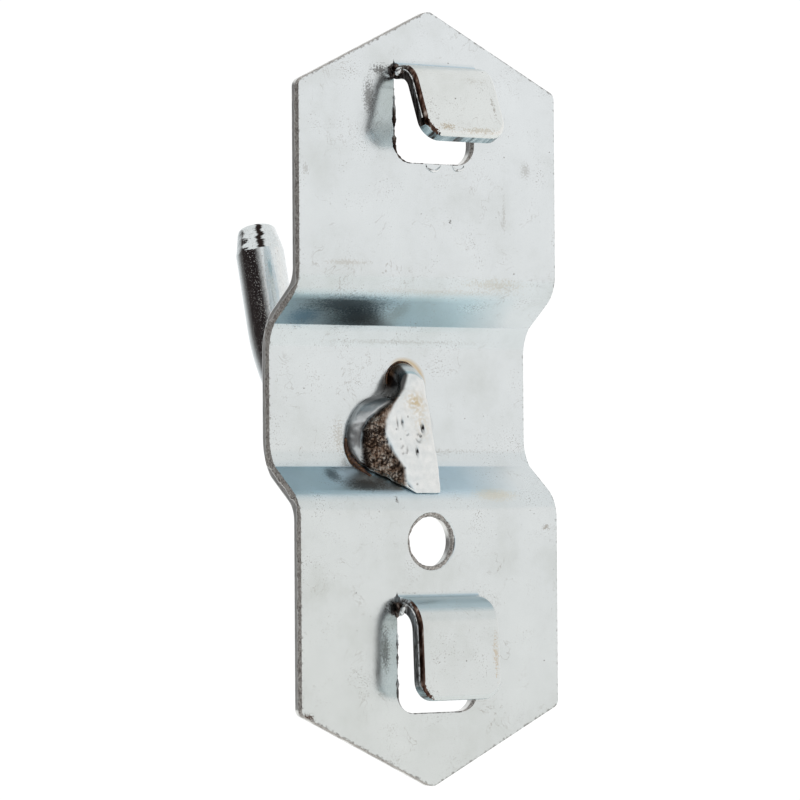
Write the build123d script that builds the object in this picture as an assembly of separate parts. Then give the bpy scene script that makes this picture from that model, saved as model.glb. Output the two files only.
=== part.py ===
from build123d import *
from math import cos, pi, radians, sin, tan
import os

# Wall panel tool holder: a stamped plate whose two lanced tabs hook into the square holes of a
# perforated wall panel, with a bent peg welded through its middle to carry the tool.
# Millimetres, +Z up, +Y towards the wall. The origin is the middle of the plate on its back face.

# Sheet the plate is stamped from
SHEET = 1.0
BEND_RADIUS = 1.6               # inside radius where a slope leaves the plate
NEUTRAL_SHARE = 0.28            # neutral line of a bend, as a share of the sheet from the inside
EDGE_ROLL = 0.2                 # rounding that the punch leaves where it enters the sheet

# Plate outline
PLATE_WIDTH = 21.7
POINT_RISE = 5.35               # height of each pointed end over the straight sides
TOP_MARGIN = 3.95               # upper tab's crown to the upper point
BOTTOM_MARGIN = 5.14            # lower window's sill to the lower point
OUTLINE_RADIUS = 0.6

# Tabs
PANEL_PITCH = 38.0              # hole pitch of the wall panel
PITCH_CLEARANCE = 1.12          # the tabs stand this much closer, so the upper one bears first
TAB_WIDTH = 6.8
TAB_OFFSET = -0.45              # tabs' middle from the plate's middle
TAB_GAP = 1.85                  # room for the panel between the plate and a tab
TAB_ROOT_RADIUS = 0.5           # inside radius where a tab leaves the plate
TAB_CORNER_RADIUS = 1.4
TAB_EDGE_ROLL = 0.35            # rounding of a tab's outer edges
# Each is a straight leg, its splay in degrees and the inside radius where the tab turns down.
# The upper tab is splayed, to lead it into its hole.
UPPER_TAB = (4.15, 23.0, 1.0)
LOWER_TAB = (4.88, 3.0, 1.3)

# Recess across the plate
RECESS_DEPTH = 3.9
RECESS_HEIGHT = 11.75           # between the middles of its two slopes
SLOPE_ANGLE = 53.0              # degrees from the plate
CREASE_ANGLE = 38.0             # degrees from the plate, past the crease on a slope
CREASE_RISE = 0.7               # crease over the floor of the recess
CREASE_RADIUS = 0.2
FLOOR_BEND_RADIUS = 3.2         # inside radius from a crease to the floor

# Screw hole below the recess
HOLE_DIAMETER = 3.8
HOLE_TO_RECESS = 4.3            # hole's centre to the middle of the lower slope
HOLE_TO_TAB = 3.85              # hole's centre to the lower tab's crown

# Peg
PEG_DIAMETER = 3.6
PEG_CLEARANCE = 0.05            # radial, in the plate's hole
PEG_BELOW_MIDDLE = 2.2          # peg's axis below the recess's middle
PEG_REACH = 5.3                 # straight run in front of the plate
PEG_BEND_RADIUS = 10.6          # at the peg's axis
PEG_LEAN = 15.5                 # degrees from upright
PEG_UPRIGHT = 7.65              # straight run above the bend, with the tip
PEG_TAIL = 1.6                  # end that stands behind the plate, inside the weld
TIP_LENGTH = 2.0
TIP_DIAMETER = 2.7
TIP_EDGE_RADIUS = 0.35

# Weld behind the plate: a run that widens downwards, with a pool at its side.
# Each disc is a diameter, an offset from the plate's middle and a height over the peg's axis.
WELD_TOP = (2.5, -0.2, 3.35)
WELD_FOOT = (4.2, 0.25, -4.7)
WELD_POOL = (6.2, 1.45, -0.8)
WELD_TAPER = 6.0                # degrees, of its steep sides
WELD_BLEND_RADIUS = 0.8
CREST_TOP = (1.9, -0.2, 3.1)
CREST_FOOT = (2.3, -0.25, -4.55)
CREST_POOL = (4.0, 0.7, 0.1)
CREST_TILT = 12.0               # degrees by which the crest falls away upwards
CREST_SETBACK = 0.6             # crest in front of the plate's back face, at the run's foot
CREST_RADIUS = 0.4
SHOULDER_TAPER = 43.0           # degrees, of the shoulders below the crest

OVERLAP = 0.5                   # length by which a joined or cutting solid runs past a face
FLAT_TOLERANCE = 0.01           # share of a face's normal that counts as none


def developed(leg, splay, crown_radius):
    """Flat length of a tab, from where it leaves the plate to its tip."""
    root = pi / 2 * (TAB_ROOT_RADIUS + NEUTRAL_SHARE * SHEET)
    rise = TAB_GAP - crown_radius - TAB_ROOT_RADIUS
    crown = radians(90 - splay) * (crown_radius + NEUTRAL_SHARE * SHEET)
    return root + rise + crown + leg


# Heights, stacked from the lower point and centred on the plate
LOWER_SILL_DROP = developed(*LOWER_TAB) - TAB_ROOT_RADIUS
TAB_PITCH = PANEL_PITCH - PITCH_CLEARANCE
PLATE_HEIGHT = BOTTOM_MARGIN + LOWER_SILL_DROP + TAB_PITCH + TOP_MARGIN
LOWER_CROWN_Z = -PLATE_HEIGHT / 2 + BOTTOM_MARGIN + LOWER_SILL_DROP
UPPER_CROWN_Z = LOWER_CROWN_Z + TAB_PITCH
HOLE_Z = LOWER_CROWN_Z + HOLE_TO_TAB
RECESS_Z = HOLE_Z + HOLE_TO_RECESS + RECESS_HEIGHT / 2
PEG_Z = RECESS_Z - PEG_BELOW_MIDDLE


def sheet_line(depth):
    """Side view of the sheet's surface that lies this deep under the back face."""
    end = PLATE_HEIGHT / 2 + OVERLAP
    slope, crease = radians(SLOPE_ANGLE), radians(CREASE_ANGLE)
    half_slope = RECESS_DEPTH / 2 / tan(slope)
    outer = RECESS_HEIGHT / 2 + half_slope + depth * tan(slope / 2)
    foot = RECESS_HEIGHT / 2 - half_slope + depth * tan(slope / 2)
    spread = 1 / tan(crease) - 1 / tan(slope)
    inner = RECESS_HEIGHT / 2 - half_slope - CREASE_RISE * spread + depth * tan(crease / 2)
    rise = (foot - inner) / spread
    fold = foot + rise / tan(slope)
    near, far = -depth, -RECESS_DEPTH - depth
    points = [
        (near, end),
        (near, RECESS_Z + outer),
        (far + rise, RECESS_Z + fold),
        (far, RECESS_Z + inner),
        (far, RECESS_Z - inner),
        (far + rise, RECESS_Z - fold),
        (near, RECESS_Z - outer),
        (near, -end),
    ]
    upper_bends = [BEND_RADIUS + SHEET - depth, CREASE_RADIUS + depth, FLOOR_BEND_RADIUS + depth]
    return FilletPolyline(*points, radius=upper_bends + upper_bends[::-1])


def joggled_sheet():
    """Straight strip of sheet with the recess formed across it."""
    back, front = sheet_line(0), sheet_line(SHEET)
    ends = Line(back @ 0, front @ 0) + Line(back @ 1, front @ 1)
    section = Plane.YZ * make_face(back + front + ends)
    return extrude(section, PLATE_WIDTH / 2 + OVERLAP, both=True)


def through_plate(face):
    """Prism of an XZ face that passes right through the plate."""
    return extrude(face, RECESS_DEPTH + SHEET + OVERLAP, both=True)


def plate_outline():
    """Hexagon with a point at the top and at the bottom."""
    side, point = PLATE_WIDTH / 2, PLATE_HEIGHT / 2
    shoulder = point - POINT_RISE
    corners = [(0, point), (side, shoulder), (side, -shoulder), (0, -point), (-side, -shoulder), (-side, shoulder)]
    hexagon = make_face(Polyline(*corners, close=True))
    return Plane.XZ * fillet(hexagon.vertices(), OUTLINE_RADIUS)


def window(crown_z, leg, splay, crown_radius):
    """Opening that a tab leaves in the plate: its flat length from the root down to the sill."""
    top = crown_z + TAB_ROOT_RADIUS
    height = developed(leg, splay, crown_radius)
    opening = Pos(TAB_OFFSET, top - height / 2) * Rectangle(TAB_WIDTH, height)
    sill_corners = opening.vertices().group_by(Axis.Y)[0]
    return through_plate(Plane.XZ * fillet(sill_corners, TAB_CORNER_RADIUS))


def tab_lines(crown_z, leg, splay, crown_radius):
    """Side view of a tab's outer and inner surfaces, from inside the plate to the tip."""
    angle = radians(splay)
    normal = Vector(cos(angle), sin(angle))
    along = Vector(sin(angle), -cos(angle))
    corner = Vector((1 - sin(angle)) / cos(angle), 1)
    centre = Vector(TAB_GAP - crown_radius, crown_z - SHEET - crown_radius)
    lines = []
    for depth in (0, SHEET):
        turn_radius = crown_radius + SHEET - depth
        root_radius = TAB_ROOT_RADIUS + depth
        points = [
            (-depth, crown_z + TAB_ROOT_RADIUS + OVERLAP),
            (-depth, crown_z - depth),
            centre + corner * turn_radius,
            centre + normal * turn_radius + along * leg,
        ]
        lines.append(FilletPolyline(*points, radius=[root_radius, turn_radius]))
    return lines


def tab(crown_z, *bends):
    """Lanced tab: it leaves the plate, turns down over the panel and ends in a rounded tip."""
    outer, inner = tab_lines(crown_z, *bends)
    ends = Line(outer @ 0, inner @ 0) + Line(outer @ 1, inner @ 1)
    section = Plane.YZ * make_face(outer + inner + ends)
    body = Pos(X=TAB_OFFSET) * extrude(section, TAB_WIDTH / 2, both=True)
    tip_face = body.faces().sort_by(Axis.Z)[0]
    body = fillet(tip_face.edges().group_by(SortBy.LENGTH)[0], TAB_CORNER_RADIUS)
    upright = body.faces().filter_by(lambda face: face.normal_at().Y > abs(face.normal_at().Z))
    outer_face = upright.filter_by(GeomType.PLANE).sort_by(Axis.Y)[-1]
    crown_seam = outer_face.edges().sort_by(Axis.Z)[-1]
    rolled = outer_face.edges().filter_by(lambda edge: not edge.is_same(crown_seam))
    root = split(body, Plane.XZ.offset(-TAB_EDGE_ROLL), keep=Keep.TOP)
    return fillet(rolled, TAB_EDGE_ROLL) + root


def rolled_front(plate):
    """Rounds the plate's front outline, where the blanking punch drew the sheet in."""
    sides = plate.faces().filter_by(lambda face: abs(face.normal_at().Y) < FLAT_TOLERANCE)
    fronts = plate.faces().filter_by(lambda face: face.normal_at().Y < -FLAT_TOLERANCE)
    rim = fronts.edges().filter_by(lambda edge: any(edge.is_same(other) for other in sides.edges()))
    return fillet(rim, EDGE_ROLL)


def drilled(plate, z, radius):
    """Cuts a round hole through the plate on its middle line."""
    return plate - through_plate(Plane.XZ * (Pos(0, z) * Circle(radius)))


def make_back_plate():
    plate = rolled_front(joggled_sheet() & through_plate(plate_outline()))
    plate = drilled(plate, HOLE_Z, HOLE_DIAMETER / 2)
    back_rim = plate.edges().filter_by(GeomType.CIRCLE).sort_by_distance((0, 0, HOLE_Z))[0]
    plate = fillet(back_rim, EDGE_ROLL)
    plate = drilled(plate, PEG_Z, PEG_DIAMETER / 2 + PEG_CLEARANCE)
    for crown_z, bends in ((UPPER_CROWN_Z, UPPER_TAB), (LOWER_CROWN_Z, LOWER_TAB)):
        plate -= window(crown_z, *bends)
        plate += tab(crown_z, *bends)
    return plate


def peg_points():
    """Peg's axis in side view: its tail, the corner that the bend rounds, and its tip."""
    turn, lean = radians(90 - PEG_LEAN), radians(PEG_LEAN)
    tangent = PEG_BEND_RADIUS * tan(turn / 2)
    tail = Vector(-RECESS_DEPTH + PEG_TAIL, PEG_Z)
    corner = Vector(-RECESS_DEPTH - SHEET - PEG_REACH - tangent, PEG_Z)
    tip = corner + Vector(-sin(lean), cos(lean)) * (tangent + PEG_UPRIGHT)
    return tail, corner, tip


def make_hook_peg():
    tail, corner, tip = peg_points()
    foot = tip + (corner - tip).normalized() * TIP_LENGTH
    path = Plane.YZ * FilletPolyline(tail, corner, foot, radius=PEG_BEND_RADIUS)
    rod = sweep(Plane(path @ 0, z_dir=path % 0) * Circle(PEG_DIAMETER / 2), path=path)
    cone = Cone(PEG_DIAMETER / 2, TIP_DIAMETER / 2, TIP_LENGTH, align=(Align.CENTER, Align.CENTER, Align.MIN))
    end_edge = cone.edges().filter_by(GeomType.CIRCLE).sort_by(Axis.Z)[-1]
    point = fillet(end_edge, TIP_EDGE_RADIUS)
    return rod + Plane(path @ 1, z_dir=path % 1) * point


def weld_disc(diameter, offset_x, above_peg):
    return Pos(offset_x, PEG_Z + above_peg) * Circle(diameter / 2)


def hull_of(*discs):
    """Outline drawn tightly round some discs of the weld."""
    return make_hull([edge for disc in discs for edge in weld_disc(*disc).edges()])


def weld_outline():
    """Outline of the weld on the recess: the run, with the pool blended into its side."""
    blob = hull_of(WELD_TOP, WELD_FOOT) + weld_disc(*WELD_POOL)
    return offset(offset(blob, WELD_BLEND_RADIUS), -WELD_BLEND_RADIUS)


def recess_space():
    """Room in the recess, in front of the plate's back face."""
    back = sheet_line(0)
    return extrude(Plane.YZ * make_face(back + Line(back @ 0, back @ 1)), PLATE_WIDTH / 2, both=True)


def make_weld_bead(peg):
    """Mound of weld metal: steep sides, sloping shoulders and a crest that falls away upwards."""
    floor = Plane((0, -RECESS_DEPTH, 0), x_dir=(-1, 0, 0), z_dir=(0, 1, 0))
    sides = extrude(floor * mirror(weld_outline(), about=Plane.YZ), RECESS_DEPTH, taper=WELD_TAPER)
    crest = Plane.XZ * hull_of(CREST_TOP, CREST_FOOT, CREST_POOL)
    shoulders = extrude(crest, RECESS_DEPTH, taper=-SHOULDER_TAPER)
    shoulders = fillet(shoulders.faces().sort_by(Axis.Y)[-1].edges(), CREST_RADIUS)
    foot_z = PEG_Z + CREST_FOOT[2]
    shoulders = Pos(0, -CREST_SETBACK, foot_z) * Rot(X=CREST_TILT) * Pos(Z=-foot_z) * shoulders
    return (sides & shoulders & recess_space()) - peg


hook_peg = make_hook_peg()
nodes = {
    "back_plate": make_back_plate(),
    "hook_peg": hook_peg,
    "weld_bead": make_weld_bead(hook_peg),
}
os.makedirs("parts", exist_ok=True)
for name, solid in nodes.items():
    export_step(solid, f"parts/{name}.step")
    print(name, round(solid.volume, 2), solid.bounding_box())
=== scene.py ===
# %% [markdown]
# # A wall panel tool holder in zinc-plated steel
# The real holder is a stamped plate that hooks into a perforated wall panel, with a bent peg welded
# through it. The solids are already built, so this lesson only dresses them. It loads them as a fixed
# frame, sets up the camera and a light tent, and then makes each finish and each small form that the
# picture shows.

# %% Load the solids
import math

import bmesh
import bpy
import numpy as np
from mathutils import Matrix, Vector, noise


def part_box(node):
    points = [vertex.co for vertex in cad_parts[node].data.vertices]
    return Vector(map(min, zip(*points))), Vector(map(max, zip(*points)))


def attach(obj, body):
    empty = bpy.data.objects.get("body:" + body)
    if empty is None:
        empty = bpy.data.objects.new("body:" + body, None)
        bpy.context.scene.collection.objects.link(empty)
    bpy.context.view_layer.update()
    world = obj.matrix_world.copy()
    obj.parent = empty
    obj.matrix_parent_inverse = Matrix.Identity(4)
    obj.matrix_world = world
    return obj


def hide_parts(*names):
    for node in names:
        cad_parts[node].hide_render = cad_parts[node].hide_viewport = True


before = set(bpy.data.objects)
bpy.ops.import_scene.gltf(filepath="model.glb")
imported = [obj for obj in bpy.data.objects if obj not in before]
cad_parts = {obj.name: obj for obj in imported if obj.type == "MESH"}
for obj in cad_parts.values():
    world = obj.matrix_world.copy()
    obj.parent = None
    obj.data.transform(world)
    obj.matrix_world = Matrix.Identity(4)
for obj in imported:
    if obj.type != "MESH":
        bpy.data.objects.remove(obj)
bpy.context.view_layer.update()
MM = 0.001
TO_MM = (1 / MM, 1 / MM, 1 / MM)

# %% [markdown]
# ## The camera
# The picture looks at the back of the plate from its right, almost level, with a long lens. The angles
# and the distance were fitted to the plate's outline, its round hole and its windows. A camera in Blender
# looks along its own -Z, so its matrix has the right, up and backward directions as columns.

# %% Camera
YAW, PITCH, ROLL = (math.radians(angle) for angle in (34.55, -1.33, -0.36))
CAMERA_DISTANCE = 287.0 * MM
CAMERA_SLIDE = -2.14 * MM
CAMERA_LIFT = -0.12 * MM
FOCAL_PIXELS = 4123.1
PICTURE_PIXELS = 800
SENSOR_WIDTH = 36.0
CLIP_NEAR, CLIP_FAR = 0.01, 10.0

backward = Vector((math.sin(YAW) * math.cos(PITCH), math.cos(YAW) * math.cos(PITCH), math.sin(PITCH)))
level_right = Vector((-math.cos(YAW), math.sin(YAW), 0.0))
level_up = backward.cross(level_right)
right = level_right * math.cos(ROLL) + level_up * math.sin(ROLL)
up = level_up * math.cos(ROLL) - level_right * math.sin(ROLL)

camera_data = bpy.data.cameras.new("picture_camera")
camera_data.sensor_width = SENSOR_WIDTH
camera_data.lens = FOCAL_PIXELS / PICTURE_PIXELS * SENSOR_WIDTH
camera_data.clip_start = CLIP_NEAR
camera_data.clip_end = CLIP_FAR
camera = bpy.data.objects.new("picture_camera", camera_data)
bpy.context.scene.collection.objects.link(camera)
camera.matrix_world = Matrix((right, up, backward)).transposed().to_4x4()
camera.location = backward * CAMERA_DISTANCE + right * CAMERA_SLIDE + up * CAMERA_LIFT
bpy.context.scene.camera = camera
print("camera at mm:", [round(v / MM, 1) for v in camera.location], "lens mm:", round(camera_data.lens, 1))

# %% [markdown]
# ## Colour and node helpers
# Colours are written as the hex values that a picture shows. Blender works in linear light, so one
# function turns them. Another adds a node with its settings and links, and gives back a socket for the
# next node, so that a material reads as one chain from its pattern to its shader. A list fills inputs in
# order: for a Map Range, the value, the two ends of its range and, if needed, what those ends become.

# %% Helpers
scene = bpy.context.scene
scene.view_settings.view_transform = "Standard"


def linear(hex_colour, strength=1.0):
    """Linear RGBA of an sRGB hex colour."""
    channels = [int(hex_colour[i:i + 2], 16) / 255 for i in (1, 3, 5)]
    values = [c / 12.92 if c <= 0.04045 else ((c + 0.055) / 1.055) ** 2.4 for c in channels]
    return (*[v * strength for v in values], 1.0)


def fill(made, inputs):
    """Fills a node's inputs with values or links: a list in order, a dict by name or number."""
    pairs = inputs.items() if isinstance(inputs, dict) else enumerate(inputs)
    for name, value in pairs:
        if isinstance(value, bpy.types.NodeSocket):
            made.id_data.links.new(value, made.inputs[name])
        else:
            made.inputs[name].default_value = value


def node(tree, kind, inputs=(), operation=None, output=None, stops=(), **settings):
    """Adds a node with its settings, links and ramp stops. Gives a named output, or the first in use."""
    made = tree.nodes.new("ShaderNode" + kind)
    if operation:
        made.operation = operation
    for name, value in settings.items():
        setattr(made, name, value)
    fill(made, inputs)
    for i, (position, *colour) in enumerate(stops):
        elements = made.color_ramp.elements
        element = elements[i] if i < len(elements) else elements.new(position)
        element.position = position
        element.color = linear(*colour)
    if output:
        return made.outputs[output]
    return next((socket for socket in made.outputs if socket.enabled), None)


def new_finish(name):
    """Adds a material. Gives it with its node tree, its shader and the place on the object as a socket."""
    material = bpy.data.materials.new(name)
    material.use_nodes = True
    tree = material.node_tree
    return material, tree, tree.nodes["Principled BSDF"], node(tree, "TexCoord", output="Object")


print("view:", scene.view_settings.view_transform)

# %% [markdown]
# ## The light tent and the floor
# Plated steel shows little but its surroundings, so the light matters more than the paint. The picture
# was taken in a white tent with a dark opening between the camera and the object's left: everything that
# faces left mirrors that opening and turns brown-black. The tent is the world itself, a ramp around the
# vertical axis, white above and below. A pale floor lies under the object and below the picture's edge.

# %% Light tent
TENT_STOPS = [
    (-180, "#FFFFFF", 1.06),
    (-95, "#FFFAF6", 0.98),
    (-28, "#FBFBFA", 0.97),
    (-14, "#D5DEE2", 0.90),
    (-5, "#A3B3BD", 0.80),
    (0, "#7A5A4C", 0.70),
    (4, "#3A2E2B", 0.80),
    (40, "#2C2525", 0.80),
    (92, "#352E2D", 0.85),
    (112, "#7B7876", 0.80),
    (138, "#DADBDB", 0.95),
    (165, "#FFFFFF", 1.06),
]
ROOF_LEVELS = (0.40, 0.54)
GROUND_LEVELS = (-0.62, -0.92)

world = bpy.data.worlds.new("light_tent")
scene.world = world
world.use_nodes = True
tent = world.node_tree
tent.nodes.clear()
direction = node(tent, "TexCoord", output="Generated")
camera_level = Vector((backward.x, backward.y, 0.0)).normalized()
towards = node(tent, "VectorMath", [direction, camera_level], "DOT_PRODUCT")
leftwards = node(tent, "VectorMath", [direction, -level_right], "DOT_PRODUCT")
level = node(tent, "CombineXYZ", {"X": towards, "Y": leftwards})
around = node(tent, "TexGradient", {"Vector": level}, output="Fac", gradient_type="RADIAL")
tent_ramp = [(angle / 360 + 0.5, colour, gain) for angle, colour, gain in TENT_STOPS]
walls = node(tent, "ValToRGB", [around], stops=tent_ramp)
height = node(tent, "SeparateXYZ", [direction], output="Z")
roof, ground = [
    node(tent, "MapRange", [height, *levels], interpolation_type="SMOOTHSTEP")
    for levels in (ROOF_LEVELS, GROUND_LEVELS)
]
overhead = node(tent, "Math", [roof, ground], "MAXIMUM")
tent_colour = node(tent, "Mix", {0: overhead, 6: walls, 7: linear("#FBFAF8", 0.92)}, data_type="RGBA")
background = node(tent, "Background", {"Color": tent_colour, "Strength": 1.0})
node(tent, "OutputWorld", {"Surface": background})
print("light tent stops:", len(TENT_STOPS))

# %% Floor
# The table is lit from below, as for pictures on white, so the steel mirrors it as bright as the walls.
FLOOR_DROP = 75.0 * MM
FLOOR_RADIUS = 350.0 * MM
FLOOR_SIDES = 96
FLOOR_GLOW = 0.20

floor_mesh = bpy.data.meshes.new("pale_floor")
floor_form = bmesh.new()
bmesh.ops.create_circle(floor_form, cap_ends=True, segments=FLOOR_SIDES, radius=FLOOR_RADIUS)
floor_form.to_mesh(floor_mesh)
floor_form.free()
floor = bpy.data.objects.new("pale_floor", floor_mesh)
scene.collection.objects.link(floor)
floor.location.z = -FLOOR_DROP
floor_paint = bpy.data.materials.new("opal_light_table")
floor_paint.use_nodes = True
floor_look = {
    "Base Color": linear("#F2F2F0"),
    "Roughness": 0.8,
    "Emission Color": linear("#FFFFFF"),
    "Emission Strength": FLOOR_GLOW,
}
fill(floor_paint.node_tree.nodes["Principled BSDF"], floor_look)
floor_mesh.materials.append(floor_paint)
print("floor at mm:", round(floor.location.z / MM, 1))

# %% [markdown]
# ## Zinc plating on sheet
# The plate is cold-rolled steel, stamped and then plated with bright zinc. The plating is a metal with no
# colour of its own; a blue painted reflection is mixed into it on the slopes and the tabs' crowns, by
# which way they face, and painted light makes the upper part lighter. The flats carry a fine satin grain,
# faint clouds, dark specks and hairlines of dried liquor. All patterns live in the object's own space, so
# they stay on it from every side. Their place is first turned into millimetres, so that each scale is a
# real size.

# %% Plated sheet: painted light tone, clouds and painted blue reflections on the bends
CLOUD_SIZE = 5.0
PAINTED_LIGHT_LEAN = (-0.55, 0.0, 0.83)
PAINTED_LIGHT_REACH = 22.0
UPPER_SLOPE_PAINTED_REFLECTION, LOWER_SLOPE_PAINTED_REFLECTION, CROWN_PAINTED_REFLECTION = "#DDEFF4", "#E0F0FA", "#D2E2EA"
BLUE_END, BLUE_FULL = -8.5, -4.0

plated_sheet, sheet, sheet_shader, sheet_object = new_finish("bright_zinc_on_stamped_sheet")
place = node(sheet, "VectorMath", [sheet_object, TO_MM], "MULTIPLY")
spot = node(sheet, "SeparateXYZ", [place]).node.outputs
facing = node(sheet, "SeparateXYZ", [node(sheet, "NewGeometry", output="Normal")]).node.outputs
flatness = node(sheet, "Math", [facing["Y"]], "ABSOLUTE")
stretched = node(sheet, "MapRange", [flatness, 0.88, 0.68])
stands_out = node(sheet, "MapRange", [spot["Y"], 0.1, 0.6])

# Painted light: the base colour is made lighter towards the top and towards -x.
painted_light_lean = node(sheet, "VectorMath", [place, PAINTED_LIGHT_LEAN], "DOT_PRODUCT")
painted_light_tone = node(sheet, "MapRange", [painted_light_lean, -PAINTED_LIGHT_REACH, PAINTED_LIGHT_REACH])
base_colour = node(
    sheet, "ValToRGB", [painted_light_tone], stops=[(0.0, "#DAE0E0"), (0.5, "#DFE6E9"), (1.0, "#E4EBEF")]
)
clouds = node(
    sheet, "TexNoise", {"Vector": place, "Scale": 1 / CLOUD_SIZE, "Detail": 6.0, "Roughness": 0.6}
)
cloud_colour = node(
    sheet, "ValToRGB", [clouds], stops=[(0.30, "#EFEFED"), (0.5, "#FAFAFA"), (0.70, "#FFFFFF")]
)

faces_down = node(sheet, "MapRange", [facing["Z"], -0.3, -0.6])
faces_up = node(sheet, "MapRange", [facing["Z"], 0.3, 0.6])
# Painted reflection: the recess slopes are tinted blue, fading out towards -x
blue_side = node(sheet, "MapRange", [spot["X"], BLUE_END, BLUE_FULL])
in_recess = node(sheet, "Math", [blue_side, stands_out], "SUBTRACT", use_clamp=True)
recess_bend = node(sheet, "Math", [stretched, in_recess], "MULTIPLY")
upper_slope_reflection, lower_slope_reflection = [
    node(sheet, "Math", [recess_bend, side], "MULTIPLY")
    for side in (faces_down, faces_up)
]
# Painted reflection: the tabs' crowns are tinted blue by which way they face. The lower tab was bent
# further, so its crown is blue further down its face
crown_start = node(sheet, "MapRange", [spot["Z"], -14.0, 23.0, 0.55, 0.95])
crown_over = node(sheet, "Math", [facing["Z"], crown_start], "SUBTRACT")
crown_up = node(sheet, "MapRange", [crown_over, 0.0, 0.16])
crown = node(sheet, "Math", [crown_up, stands_out], "MULTIPLY")
# Painted light: the upper tab's colour is made lighter.
high_up = node(sheet, "MapRange", [spot["Z"], 10.0, 15.0])
upper_tab = node(sheet, "Math", [high_up, stands_out], "MULTIPLY")

# The clouds are the zinc's own; the slope and crown tints are painted reflections, and the upper tab's
# tint is painted light
for share, tint in (
    (1.0, cloud_colour),
    (upper_slope_reflection, linear(UPPER_SLOPE_PAINTED_REFLECTION)),
    (lower_slope_reflection, linear(LOWER_SLOPE_PAINTED_REFLECTION)),
    (crown, linear(CROWN_PAINTED_REFLECTION)),
    (upper_tab, linear("#FFFCF8", 1.07)),
):
    base_colour = node(
        sheet, "Mix", {0: share, 6: base_colour, 7: tint}, data_type="RGBA", blend_type="MULTIPLY"
    )
print("sheet nodes so far:", len(sheet.nodes))

# %% [markdown]
# ## Stains and painted shade
# The photograph shows a used plate: a rust spot at one corner, beige residue, smudges and a heat mark
# round the weld. The dark and blue patches on the slopes are painted reflections, and the dark bands
# beside the windows are painted shade. Each spot has its own place, in millimetres, and a fine noise
# breaks it up, as dirt sits in the grain of the metal; the painted patches are broken up the same way.

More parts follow.
